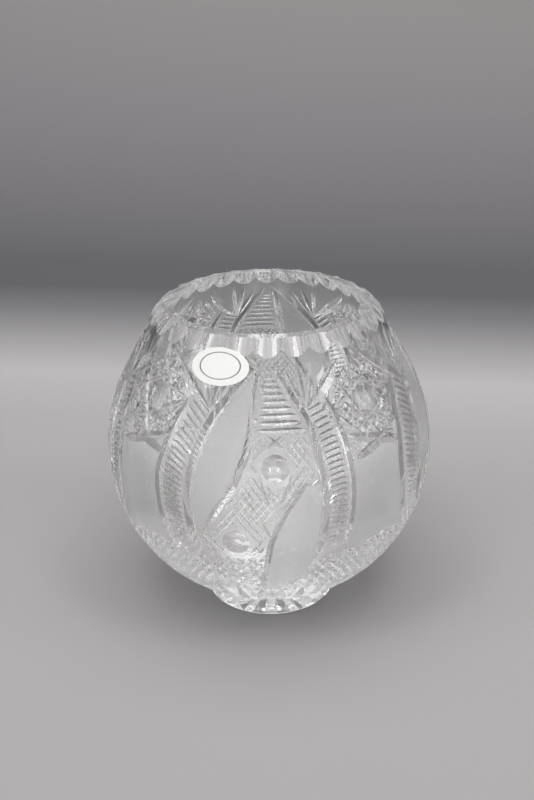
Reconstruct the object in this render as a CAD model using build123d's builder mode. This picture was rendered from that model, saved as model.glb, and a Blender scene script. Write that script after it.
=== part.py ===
from build123d import *
import math
import os

# Cut-crystal rose bowl: a blown bowl with a fluted rim, an applied foot and a paper label.
# Millimetres. Origin at the middle of the foot's underside, +Z up, the front towards -Y.
# Points of the cut pattern are (azimuth, rise): degrees round from the front, millimetres
# above the belly's widest line.

# Bowl profile: a ball that runs into a straight shoulder, hollowed by a smaller ball
belly_radius = 79.5
wall_thickness = 8.5
floor_raise = 3.0
shoulder_angle = 27.5
shoulder_length = 39.8

# Fluted rim
flute_count = 28
flute_radius = 18.0
flute_depth = 3.6
flute_angle = 46.0
flute_reach = 24.0
flute_overrun = 12.0

# Foot
foot_height = 8.8
seat_radius = 28.5
foot_radius = 31.5
foot_edge = 1.2
standing_ring_width = 5.0
dish_depth = 2.4
star_rays = 16
star_ray_depth = 1.6
star_ray_width = 4.0

# Cutting wheels: width and depth of the V that each leaves
mitre_wheel = (3.2, 1.3)
broad_wheel = (4.0, 1.6)
rung_wheel = (2.1, 0.8)
ray_wheel = (2.4, 0.9)
cutter_lift = 1.0
mitre_stations = 9
rung_stations = 3

# Curved cuts of one quarter of the pattern
motif_count = 4
left_mitre = [(-3.0, 63.0), (-12.0, 54.0), (-20.0, 42.0), (-24.5, 29.0), (-27.4, 8.0), (-22.0, -35.0)]
right_mitre = [(1.0, 62.0), (7.0, 53.5), (13.0, 42.0), (16.0, 29.0), (18.0, 5.0), (15.5, -27.0)]
sweeping_mitre = [(-3.5, 61.0), (-5.0, 52.0), (-6.5, 35.0), (-10.0, 20.0), (-15.0, 7.0), (-22.0, -10.0)]
rising_mitre = [(12.5, 15.0), (5.5, 2.0), (1.5, -10.0), (-1.5, -33.0), (-2.0, -38.0)]
left_strip_edge = [(-32.0, 48.0), (-37.0, 33.0), (-40.0, 11.0), (-38.5, -8.0), (-36.0, -21.0)]
right_strip_edge = [(22.0, 48.5), (26.0, 35.0), (28.0, 14.0), (27.5, -8.0), (26.5, -20.0)]
crossing_mitres = [[(28.5, 31.5), (52.0, 22.0)], [(30.0, 20.5), (53.0, 31.0)]]

# Rungs between the curved cuts
ladder_rises = (37.5, 57.0)
ladder_rungs = 8
strip_rises = (-17.0, 44.0)
strip_rungs = 16

# Dished eyes, the star round one of them, fans under the rim and fine straight cuts
bull_eyes = [(2.0, 21.5), (-11.5, -15.0)]
bull_eye_radius = 7.0
eye_depth = 1.8
star_centre = (40.0, 44.5)
star_eye_radius = 5.4
star_points = 8
star_hub = 3.6
star_reach = 14.5
fan_bases = [(14.0, 45.0), (-22.5, 43.5)]
fan_tops = [
    [(12.0, 62.0), (17.0, 62.5), (22.0, 61.0), (28.5, 59.0)],
    [(-20.0, 54.0), (-24.0, 55.0), (-28.0, 53.0), (-33.0, 51.0)],
]
fine_cuts = [
    [(-3.8, 21.0), (0.0, 3.5)],
    [(8.0, 21.0), (3.2, 4.0)],
    [(-9.5, 12.0), (-3.0, -2.0)],
    [(-3.0, -2.0), (0.5, -13.0)],
    [(-1.0, 35.5), (5.5, 29.0)],
    [(5.0, 35.5), (-1.5, 29.0)],
]

# Paper label on the shoulder
label_width = 27.0
label_height = 17.0
label_azimuth = -21.5
label_drop = 12.6
label_tilt = 4.0
label_clearance = 0.02
adhesive_thickness = 0.08
paper_thickness = 0.2


def up(angle):
    return math.sin(math.radians(angle))


def across(angle):
    return math.cos(math.radians(angle))


# Places on the bowl's outer profile
belly_height = foot_height + math.sqrt(belly_radius**2 - seat_radius**2)
shoulder_slope = math.tan(math.radians(shoulder_angle))
shoulder_radius = belly_radius * across(shoulder_angle)
shoulder_rise = belly_radius * up(shoulder_angle)
rim_radius = shoulder_radius - shoulder_length * up(shoulder_angle)
rim_height = belly_height + shoulder_rise + shoulder_length * across(shoulder_angle)


def outer_surface(rise):
    """Radius of the uncut bowl at a rise, and the upward lean of its surface there in degrees."""
    if rise > shoulder_rise:
        return shoulder_radius - (rise - shoulder_rise) * shoulder_slope, shoulder_angle
    lean = math.degrees(math.asin(rise / belly_radius))
    return belly_radius * across(lean), lean


def surface_point(azimuth, rise):
    radius, _ = outer_surface(rise)
    return Vector(radius * up(azimuth), -radius * across(azimuth), belly_height + rise)


def surface_normal(azimuth, rise):
    _, lean = outer_surface(rise)
    return Vector(across(lean) * up(azimuth), -across(lean) * across(azimuth), up(lean))


def spoke(centre, angle, reach):
    """Pattern point a distance along the surface from a centre, turned from straight up."""
    radius, lean = outer_surface(centre[1])
    turned = math.degrees(reach * up(angle) / radius)
    return centre[0] + turned, centre[1] + reach * across(angle) * across(lean)


def spread(ends, count):
    """Evenly spaced values from one end to the other, both ends included."""
    return [ends[0] + (ends[1] - ends[0]) * step / (count - 1) for step in range(count)]


def unrolled(points):
    """A smooth curve through pattern points, drawn with azimuth across and rise up."""
    with BuildLine() as line:
        Spline(*points)
    return line.line


def azimuth_at(curve, rise):
    """Where a curve of the pattern crosses a rise, found by halving."""
    low, high = (0.0, 1.0) if (curve @ 0.0).Y < (curve @ 1.0).Y else (1.0, 0.0)
    for _ in range(40):
        middle = (low + high) / 2
        if (curve @ middle).Y < rise:
            low = middle
        else:
            high = middle
    return (curve @ low).X


def vee_section(point, normal, along, wheel, raised):
    """Triangle of a V-shaped cut, square to the cut's line, with its point below the surface."""
    width, depth = wheel
    half = width / 2 * (depth + cutter_lift) / depth
    square = Plane(origin=point + normal * raised, x_dir=normal.cross(along), z_dir=along)
    with BuildSketch(square) as section:
        with BuildLine():
            Polyline((0, -depth), (half, cutter_lift), (-half, cutter_lift), close=True)
        make_face()
    return section.sketch


def cutter_along(places, wheel, runs_out=False):
    """V-shaped cut through pattern points on the bowl, which can run out to nothing at both ends."""
    last = len(places) - 1
    spots = [surface_point(*place) for place in places]
    with BuildPart() as cutter:
        for index, (place, spot) in enumerate(zip(places, spots)):
            along = spots[min(index + 1, last)] - spots[max(index - 1, 0)]
            raised = wheel[1] if runs_out and index in (0, last) else 0.0
            add(vee_section(spot, surface_normal(*place), along.normalized(), wheel, raised))
        loft(ruled=True)
    return cutter.part


def mitre_cutter(points, wheel):
    """Long cut along a smooth curve."""
    curve = unrolled(points)
    places = [curve @ share for share in spread((0.0, 1.0), mitre_stations)]
    return cutter_along([(place.X, place.Y) for place in places], wheel, runs_out=True)


def eye_cutter(azimuth, rise, radius):
    """Ball whose cap sinks a round dished cut into the bowl."""
    ball = (radius**2 + eye_depth**2) / (2 * eye_depth)
    centre = surface_point(azimuth, rise) + surface_normal(azimuth, rise) * (ball - eye_depth)
    with BuildPart() as cutter:
        with Locations(centre):
            Sphere(ball)
    return cutter.part


def ladder(left, right, rises, count):
    """Level V-shaped rungs between two curved cuts."""
    left_line, right_line = unrolled(left), unrolled(right)
    for rise in spread(rises, count):
        ends = azimuth_at(left_line, rise), azimuth_at(right_line, rise)
        yield cutter_along([(azimuth, rise) for azimuth in spread(ends, rung_stations)], rung_wheel)


def ball_and_shoulder(centre_height, radius):
    """Half section of a ball that runs into the straight shoulder, from its bottom to the rim's level."""
    arc = CenterArc((0, centre_height), radius, -90, 90 + shoulder_angle)
    edge = arc @ 1
    lip = edge.X - (rim_height - edge.Y) * shoulder_slope
    Polyline(edge, (lip, rim_height), (0, rim_height), arc @ 0)


# Straight round cutter that leaves one shallow flute, deepest at the rim
flute_line = Vector(up(flute_angle), 0, -across(flute_angle))
flute_out = Vector(across(flute_angle), 0, up(flute_angle))
flute_start = Vector(rim_radius - flute_depth, 0, rim_height) - flute_line * flute_overrun
with BuildPart() as flute:
    axis_start = flute_start + flute_out * flute_radius
    with BuildSketch(Plane(origin=axis_start, x_dir=(0, 1, 0), z_dir=flute_line)):
        Circle(flute_radius)
    extrude(amount=flute_reach + flute_overrun)

# One quarter of the cut pattern, which repeats round the bowl
narrow_mitres = [left_mitre, right_mitre, sweeping_mitre, rising_mitre]
broad_mitres = [left_strip_edge, right_strip_edge, *crossing_mitres]
motif = [mitre_cutter(points, mitre_wheel) for points in narrow_mitres]
motif += [mitre_cutter(points, broad_wheel) for points in broad_mitres]
motif += ladder(sweeping_mitre, right_mitre, ladder_rises, ladder_rungs)
motif += ladder(right_mitre, right_strip_edge, strip_rises, strip_rungs)
motif += ladder(left_strip_edge, left_mitre, strip_rises, strip_rungs)
motif += [eye_cutter(*eye, bull_eye_radius) for eye in bull_eyes]
motif.append(eye_cutter(*star_centre, star_eye_radius))
for point in range(star_points):
    turn = 360.0 / star_points * point
    inner, outer = (spoke(star_centre, turn, reach) for reach in (star_hub, star_reach))
    motif.append(cutter_along([inner, outer], ray_wheel))
for base, tops in zip(fan_bases, fan_tops):
    motif += [cutter_along([base, top], ray_wheel) for top in tops]
motif += [cutter_along(ends, rung_wheel) for ends in fine_cuts]

with BuildPart() as crystal_bowl:
    with BuildSketch(Plane.XZ):
        with BuildLine():
            ball_and_shoulder(belly_height, belly_radius)
        make_face()
    revolve(axis=Axis.Z)
    split(bisect_by=Plane.XY.offset(foot_height), keep=Keep.TOP)
    with BuildSketch(Plane.XZ):
        with BuildLine():
            ball_and_shoulder(belly_height + floor_raise, belly_radius - wall_thickness)
        make_face()
    revolve(axis=Axis.Z, mode=Mode.SUBTRACT)
    with PolarLocations(0, flute_count):
        add(flute.part, mode=Mode.SUBTRACT)
    with PolarLocations(0, motif_count):
        add(motif, mode=Mode.SUBTRACT)
crystal_bowl.part.label = "crystal_bowl"

# Foot: a collar that flares to the standing ring, with a dished and star-cut underside
dish_radius = foot_radius - foot_edge - standing_ring_width
with BuildPart() as star_ray:
    half = star_ray_width / 2
    for reach, level in ((0, dish_depth), (dish_radius, 0)):
        with BuildSketch(Plane.YZ.offset(reach)):
            with BuildLine():
                corners = [(0, level + star_ray_depth), (half, level), (0, -star_ray_depth), (-half, level)]
                Polyline(*corners, close=True)
            make_face()
    loft(ruled=True)

with BuildPart() as crystal_foot:
    with BuildSketch(Plane.XZ):
        with BuildLine():
            Polyline(
                (0, dish_depth),
                (dish_radius, 0),
                (foot_radius - foot_edge, 0),
                (foot_radius, foot_edge),
                (seat_radius, foot_height),
                (0, foot_height),
                close=True,
            )
        make_face()
    revolve(axis=Axis.Z)
    with PolarLocations(0, star_rays):
        add(star_ray.part, mode=Mode.SUBTRACT)
crystal_foot.part.label = "crystal_foot"


def label_layer(inner, outer):
    """Oval patch of a layer that lies on the straight shoulder, between two offsets from it."""
    slope = Vector(-up(shoulder_angle), across(shoulder_angle))
    out = Vector(across(shoulder_angle), up(shoulder_angle))
    top = Vector(rim_radius, rim_height)
    low = top - slope * (label_drop * 2)
    middle = top - slope * label_drop
    spot = Vector(middle.X * up(label_azimuth), -middle.X * across(label_azimuth), middle.Y)
    normal = surface_normal(label_azimuth, middle.Y - belly_height)
    level = Vector(across(label_azimuth), up(label_azimuth), 0)
    with BuildPart() as layer:
        with BuildSketch(Plane.XZ):
            with BuildLine():
                corners = [top + out * inner, top + out * outer, low + out * outer, low + out * inner]
                Polyline(*corners, close=True)
            make_face()
        revolve(axis=Axis.Z)
        with BuildSketch(Plane(origin=spot, x_dir=level, z_dir=normal).rotated((0, 0, label_tilt))):
            Ellipse(label_width / 2, label_height / 2)
        extrude(amount=label_width / 2, both=True, mode=Mode.INTERSECT)
    return layer.part


paper_back = label_clearance + adhesive_thickness
label_adhesive = label_layer(label_clearance, paper_back)
label_adhesive.label = "label_adhesive"
label_paper = label_layer(paper_back, paper_back + paper_thickness)
label_paper.label = "label_paper"

os.makedirs("parts", exist_ok=True)
export_step(crystal_bowl.part, "parts/crystal_bowl.step")
export_step(crystal_foot.part, "parts/crystal_foot.step")
export_step(label_adhesive, "parts/label_adhesive.step")
export_step(label_paper, "parts/label_paper.step")
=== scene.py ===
import math
from functools import partial

import bmesh
import bpy
import numpy as np
from mathutils import Matrix, Vector


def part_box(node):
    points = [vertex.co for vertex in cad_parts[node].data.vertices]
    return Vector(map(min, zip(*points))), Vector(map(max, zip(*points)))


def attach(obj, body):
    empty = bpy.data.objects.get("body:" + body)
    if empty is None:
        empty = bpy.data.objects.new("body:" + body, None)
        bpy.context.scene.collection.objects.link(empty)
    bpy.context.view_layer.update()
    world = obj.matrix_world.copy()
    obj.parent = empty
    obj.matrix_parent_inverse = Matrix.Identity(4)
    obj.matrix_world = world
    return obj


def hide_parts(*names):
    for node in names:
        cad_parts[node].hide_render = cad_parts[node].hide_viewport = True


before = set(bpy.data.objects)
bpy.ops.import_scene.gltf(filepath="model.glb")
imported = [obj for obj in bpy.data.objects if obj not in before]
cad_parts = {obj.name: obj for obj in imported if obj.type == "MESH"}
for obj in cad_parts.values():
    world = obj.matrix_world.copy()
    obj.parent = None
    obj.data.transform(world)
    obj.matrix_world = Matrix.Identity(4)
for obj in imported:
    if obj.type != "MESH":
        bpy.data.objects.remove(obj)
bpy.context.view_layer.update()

# Cut-crystal rose bowl. Pattern points are (azimuth, rise): degrees round from the front,
# millimetres above the belly's widest line. Meshes are in metres.
MM = 0.001

# Sizes that the frame gives, in metres
_, bowl_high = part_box("crystal_bowl")
_, foot_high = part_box("crystal_foot")
BELLY_RADIUS = bowl_high.x
RIM_HEIGHT = bowl_high.z
FOOT_HEIGHT = foot_high.z
FOOT_RADIUS = foot_high.x

# The blown form, in metres
SEAT_RADIUS = 28.5 * MM
WALL_THICKNESS = 8.5 * MM
FLOOR_RAISE = 3.0 * MM
SHOULDER_ANGLE = math.radians(27.5)
BELLY_HEIGHT = FOOT_HEIGHT + math.sqrt(BELLY_RADIUS**2 - SEAT_RADIUS**2)
SHOULDER_RISE = BELLY_RADIUS * math.sin(SHOULDER_ANGLE)
SHOULDER_RADIUS = BELLY_RADIUS * math.cos(SHOULDER_ANGLE)
RIM_RADIUS = SHOULDER_RADIUS - (RIM_HEIGHT - BELLY_HEIGHT - SHOULDER_RISE) * math.tan(SHOULDER_ANGLE)
CAVITY_RADIUS = BELLY_RADIUS - WALL_THICKNESS

# Mesh of the blown form: the fluted rim's count goes into the segments
FLUTE_COUNT = 28
SEGMENTS = FLUTE_COUNT * 6
ARC_STEP = math.radians(3.0)
CONE_ROWS = 5
SHARP_ANGLE = math.radians(7.0)

# Fluted rim, in metres
FLUTE_RADIUS = 18.0 * MM
FLUTE_DEPTH = 3.6 * MM
FLUTE_ANGLE = math.radians(46.0)
FLUTE_REACH = 24.0 * MM
FLUTE_OVERRUN = 12.0 * MM
FLUTE_SEGMENTS = 96

# Foot, in metres
FOOT_EDGE = 1.2 * MM
STANDING_RING = 5.0 * MM
DISH_DEPTH = 2.4 * MM
STAR_RAYS = 16
STAR_RAY_DEPTH = 1.6 * MM
STAR_RAY_WIDTH = 4.0 * MM

# Label on the shoulder: its place in degrees and its size in metres
LABEL_AZIMUTH = -21.5
LABEL_TILT = 4.0
LABEL_SIZE = (27.0 * MM, 17.0 * MM)

# The cut pattern repeats four times round the bowl
REPEATS = 4
QUARTER = 360.0 / REPEATS

# Cutters: how far they stand above the glass and how deep the satin goes, in millimetres,
# and the wheel's blunt tip as a share of its width
CUTTER_LIFT = 1.0
WHEEL_LIFT = 0.25
SATIN_DEPTH = 0.12
WHEEL_TIP = 0.02
EYE_SEGMENTS = (64, 48)

# How close to the seam's level, in metres, and how level a face of the seam is
SEAM_TOLERANCE = 0.01 * MM
LEVEL_FACE = 0.999

# Lead crystal, and the lengths and depths of what shows on each surface, in metres
CRYSTAL_IOR = 1.55
CRYSTAL_TINT = "fefefe"
RIPPLE_LENGTH, RIPPLE_DEPTH = 6.0 * MM, 0.1 * MM
PIT_LENGTH, PIT_DEPTH = 1.6 * MM, 0.2 * MM
GRAIN_LENGTH = 1.2 * MM
WETTING_LENGTH = 2.5 * MM
FIBRE_LENGTH, FIBRE_DEPTH = 0.6 * MM, 0.05 * MM
PAPER_SCATTER = 0.15 * MM

# Printed oval line, as shares of the label's half size
OVAL_LINE = 0.70
OVAL_LINE_HALF = 0.022


def linear(hex_colour):
    """sRGB hex colour as a linear RGBA tuple."""
    channels = [int(hex_colour[place : place + 2], 16) / 255 for place in (0, 2, 4)]
    return (*[c / 12.92 if c <= 0.04045 else ((c + 0.055) / 1.055) ** 2.4 for c in channels], 1.0)


def add_node(tree, kind, inputs=None, **settings):
    """Adds a node, sets its properties, and sets or links its inputs by name or place."""
    node = tree.nodes.new(kind)
    for name, value in settings.items():
        setattr(node, name, value)
    for place, value in (inputs or {}).items():
        if isinstance(value, bpy.types.NodeSocket):
            tree.links.new(value, node.inputs[place])
        else:
            node.inputs[place].default_value = value
    return node


def calculated(tree, operation, *values):
    """Output of a math node."""
    return add_node(tree, "ShaderNodeMath", dict(enumerate(values)), operation=operation).outputs[0]


def mapped(tree, value, start, end, low=0.0, high=1.0):
    """Output of a node that maps the range from start to end to the range from low to high."""
    return add_node(tree, "ShaderNodeMapRange", {
        "Value": value, "From Min": start, "From Max": end, "To Min": low, "To Max": high,
    }).outputs[0]


def noise(tree, place, length, detail, roughness=0.5):
    """Output of a noise texture with features of a length in metres."""
    return add_node(tree, "ShaderNodeTexNoise", {
        "Vector": place, "Scale": 1 / length, "Detail": detail, "Roughness": roughness,
    }).outputs[0]


def bump(tree, height, strength, depth):
    """Output of a bump node with a depth in metres."""
    return add_node(tree, "ShaderNodeBump", {
        "Height": height, "Strength": strength, "Distance": depth,
    }).outputs[0]


def seen_in_glass(tree):
    """1 for rays that come through glass or off it, and 0 for others."""
    ray = add_node(tree, "ShaderNodeLightPath").outputs
    return calculated(tree, "MAXIMUM", ray["Is Glossy Ray"], ray["Is Transmission Ray"])


def new_material(name):
    """An empty material and its node tree."""
    material = bpy.data.materials.new(name)
    material.use_nodes = True
    material.node_tree.nodes.clear()
    return material, material.node_tree


def finished(material, inputs):
    """The material, with a principled shader of these inputs on its surface."""
    shader = add_node(material.node_tree, "ShaderNodeBsdfPrincipled", inputs)
    add_node(material.node_tree, "ShaderNodeOutputMaterial", {"Surface": shader.outputs[0]})
    return material


def polished_crystal():
    """Acid-polished lead crystal: clear and bright, with a high index that makes the cuts flash.

    The acid leaves soft ripples a few millimetres long, which bend the highlights a little.
    """
    material, tree = new_material("polished_lead_crystal")
    place = add_node(tree, "ShaderNodeTexCoord").outputs["Object"]
    ripples = noise(tree, place, RIPPLE_LENGTH, 1.0)
    return finished(material, {
        "Base Color": linear(CRYSTAL_TINT), "Roughness": 0.0, "IOR": CRYSTAL_IOR, "Transmission Weight": 1.0,
        "Normal": bump(tree, ripples, 0.25, RIPPLE_DEPTH),
    })


def satin_crystal(name, rises, roughness):
    """Lead crystal ground matt with fine grit: light goes through it blurred, and it reads as pale satin.

    The roughness at each rise, in millimetres, lets a panel's polish come back softly towards its ends.
    The grit's pits, a tenth of a millimetre on the real glass, are drawn at 1.6 mm so that they show.
    """
    material, tree = new_material(name)
    place = add_node(tree, "ShaderNodeTexCoord").outputs["Object"]
    height = add_node(tree, "ShaderNodeSeparateXYZ", {0: place}).outputs["Z"]
    low, high = rises[0], rises[-1]
    share = mapped(tree, height, BELLY_HEIGHT + low * MM, BELLY_HEIGHT + high * MM)
    ramp = add_node(tree, "ShaderNodeValToRGB", {0: share})
    stops = ramp.color_ramp.elements
    for rise in rises[1:-1]:
        stops.new((rise - low) / (high - low))
    for stop, value in zip(stops, roughness):
        stop.color = (value, value, value, 1.0)
    pits = noise(tree, place, PIT_LENGTH, 4.0, 0.7)
    polish = mapped(tree, pits, 0.60, 0.72, 1.0, 0.25)
    return finished(material, {
        "Base Color": linear(CRYSTAL_TINT), "IOR": CRYSTAL_IOR, "Transmission Weight": 0.9,
        "Roughness": calculated(tree, "MULTIPLY", ramp.outputs[0], polish),
        "Normal": bump(tree, pits, 0.6, PIT_DEPTH),
    })


def fine_cut_crystal():
    """Lead crystal in the narrow cuts, where the polish stays a little soft: pale, with a muted sparkle.

    The wheel's grain, a tenth of a millimetre on the real glass, is drawn at 1.2 mm so that it shows.
    """
    material, tree = new_material("fine_cut_lead_crystal")
    place = add_node(tree, "ShaderNodeTexCoord").outputs["Object"]
    grain = noise(tree, place, GRAIN_LENGTH, 2.0)
    return finished(material, {
        "Base Color": linear(CRYSTAL_TINT), "IOR": CRYSTAL_IOR, "Transmission Weight": 1.0,
        "Roughness": mapped(tree, grain, 0.35, 0.65, 0.10, 0.28),
    })


def fused_seam():
    """The joint inside the glass where foot and bowl are fused: nothing shows there."""
    material, tree = new_material("fused_crystal_seam")
    shader = add_node(tree, "ShaderNodeBsdfTransparent")
    add_node(tree, "ShaderNodeOutputMaterial", {"Surface": shader.outputs[0]})
    return material


def coated_paper():
    """Smooth coated label paper: bright white with a slight gloss, and one plain printed oval line.

    It is thin enough to let light through to its back. Its fibres are drawn at 0.6 mm so that they show.
    """
    material, tree = new_material("coated_label_paper")
    low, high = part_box("label_paper")
    turn = math.radians(LABEL_AZIMUTH)
    away = Vector((math.sin(turn), -math.cos(turn), 0.0))
    across = Vector((math.cos(turn), math.sin(turn), 0.0))
    up = Vector((0.0, 0.0, math.cos(SHOULDER_ANGLE))) - away * math.sin(SHOULDER_ANGLE)
    lean = math.radians(LABEL_TILT)
    axes = (across * math.cos(lean) + up * math.sin(lean), up * math.cos(lean) - across * math.sin(lean))
    place = add_node(tree, "ShaderNodeTexCoord").outputs["Object"]
    middle = (low + high) / 2
    place = add_node(tree, "ShaderNodeVectorMath", {0: place, 1: middle}, operation="SUBTRACT").outputs[0]
    shares = []
    for axis, size in zip(axes, LABEL_SIZE):
        scaled = axis * (2 / size)
        part = add_node(tree, "ShaderNodeVectorMath", {0: place, 1: scaled}, operation="DOT_PRODUCT")
        shares.append(calculated(tree, "POWER", part.outputs["Value"], 2.0))
    oval = calculated(tree, "SQRT", calculated(tree, "ADD", *shares))
    line = calculated(tree, "COMPARE", oval, OVAL_LINE, OVAL_LINE_HALF)
    ink = add_node(tree, "ShaderNodeMix", {
        0: line, 6: linear("f2f2f0"), 7: linear("6c6c6e"),
    }, data_type="RGBA")
    fibres = noise(tree, place, FIBRE_LENGTH, 3.0)
    return finished(material, {
        "Base Color": ink.outputs[2], "Roughness": 0.45, "IOR": 1.5,
        "Normal": bump(tree, fibres, 0.15, FIBRE_DEPTH),
        "Subsurface Weight": 1.0, "Subsurface Radius": (1.0, 1.0, 1.0), "Subsurface Scale": PAPER_SCATTER,
    })


def clear_adhesive():
    """Thin clear adhesive film that wets the glass behind the label unevenly."""
    material, tree = new_material("clear_label_adhesive")
    place = add_node(tree, "ShaderNodeTexCoord").outputs["Object"]
    wetting = noise(tree, place, WETTING_LENGTH, 2.0)
    return finished(material, {
        "Base Color": linear("f2f0e8"), "IOR": 1.48, "Transmission Weight": 1.0,
        "Roughness": mapped(tree, wetting, 0.0, 1.0, 0.02, 0.25),
    })


POLISHED = polished_crystal()
FINE_CUT = fine_cut_crystal()
SATIN = satin_crystal("satin_lead_crystal", (-60, 60), (0.5, 0.5))
FIELD_SATIN = satin_crystal("hatched_field_lead_crystal", (-60, 60), (0.34, 0.34))
FADED_SATIN = satin_crystal("faded_satin_lead_crystal", (-27, -20, 14, 26), (0.2, 0.5, 0.5, 0.12))
SEAM = fused_seam()


def new_object(name, mesh):
    """An object in the scene, at the origin."""
    piece = bpy.data.objects.new(name, mesh)
    bpy.context.scene.collection.objects.link(piece)
    return piece


def closed_piece(name, vertices, faces, material):
    """Object from a closed shell's points and faces, with its faces turned outwards."""
    mesh = bpy.data.meshes.new(name)
    mesh.from_pydata([tuple(vertex) for vertex in vertices], [], faces)
    form = bmesh.new()
    form.from_mesh(mesh)
    bmesh.ops.recalc_face_normals(form, faces=form.faces)
    form.to_mesh(mesh)
    form.free()
    mesh.materials.append(material)
    return new_object(name, mesh)


def revolved(name, profile, material):
    """Closed piece turned about the Z axis from (radius, height) points that start and end on the axis."""
    turns = [2 * math.pi * step / SEGMENTS for step in range(SEGMENTS)]
    vertices = [(0.0, 0.0, profile[0][1])]
    for radius, height in profile[1:-1]:
        vertices += [(radius * math.cos(turn), radius * math.sin(turn), height) for turn in turns]
    vertices.append((0.0, 0.0, profile[-1][1]))
    last = len(vertices) - 1
    final_ring = last - SEGMENTS
    faces = []
    for step in range(SEGMENTS):
        after = (step + 1) % SEGMENTS
        faces.append((0, 1 + after, 1 + step))
        faces.append((last, final_ring + step, final_ring + after))
        for ring in range(len(profile) - 3):
            low, high = 1 + ring * SEGMENTS, 1 + (ring + 1) * SEGMENTS
            faces.append((low + step, low + after, high + after, high + step))
    return closed_piece(name, vertices, faces, material)


def arc_points(centre_height, radius, first, last):
    """(radius, height) points along a ball's outline, between two leans."""
    count = round(abs(last - first) / ARC_STEP)
    leans = [first + (last - first) * step / count for step in range(count + 1)]
    return [(radius * math.cos(lean), centre_height + radius * math.sin(lean)) for lean in leans]


def shoulder_points(start):
    """(radius, height) points up the straight shoulder from the ball's edge to the rim."""
    radius, height = start
    rows = [height + (RIM_HEIGHT - height) * step / CONE_ROWS for step in range(1, CONE_ROWS + 1)]
    return [(radius - (row - height) * math.tan(SHOULDER_ANGLE), row) for row in rows]


def blown_bowl():
    """The bowl before cutting: a ball that runs into a straight shoulder, hollowed by a smaller ball."""
    seat_lean = -math.acos(SEAT_RADIUS / BELLY_RADIUS)
    outside = arc_points(BELLY_HEIGHT, BELLY_RADIUS, seat_lean, SHOULDER_ANGLE)
    outside += shoulder_points(outside[-1])
    inside = arc_points(BELLY_HEIGHT + FLOOR_RAISE, CAVITY_RADIUS, -math.pi / 2, SHOULDER_ANGLE)
    inside += shoulder_points(inside[-1])
    return revolved("cut_crystal_bowl", [(0.0, FOOT_HEIGHT)] + outside + inside[::-1], POLISHED)


def repeat_round_tree():
    """Geometry nodes that repeat a shape evenly round the Z axis."""
    tree = bpy.data.node_groups.new("repeat_round", "GeometryNodeTree")
    tree.interface.new_socket("Shape", in_out="INPUT", socket_type="NodeSocketGeometry")
    tree.interface.new_socket("Repeats", in_out="INPUT", socket_type="NodeSocketInt")
    tree.interface.new_socket("Material", in_out="INPUT", socket_type="NodeSocketMaterial")
    tree.interface.new_socket("Ring", in_out="OUTPUT", socket_type="NodeSocketGeometry")
    given = add_node(tree, "NodeGroupInput").outputs
    spots = add_node(tree, "GeometryNodePoints", {"Count": given["Repeats"]}).outputs[0]
    step = calculated(tree, "DIVIDE", 2 * math.pi, given["Repeats"])
    index = add_node(tree, "GeometryNodeInputIndex").outputs[0]
    turn = calculated(tree, "MULTIPLY", index, step)
    turn = add_node(tree, "ShaderNodeCombineXYZ", {"Z": turn})
    copies = add_node(tree, "GeometryNodeInstanceOnPoints", {
        "Points": spots, "Instance": given["Shape"], "Rotation": turn.outputs[0],
    })
    ring = add_node(tree, "GeometryNodeRealizeInstances", {"Geometry": copies.outputs[0]})
    ring = add_node(tree, "GeometryNodeSetMaterial", {
        "Geometry": ring.outputs[0], "Material": given["Material"],
    })
    add_node(tree, "NodeGroupOutput", {"Ring": ring.outputs[0]})
    return tree


REPEAT_ROUND = repeat_round_tree()


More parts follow.
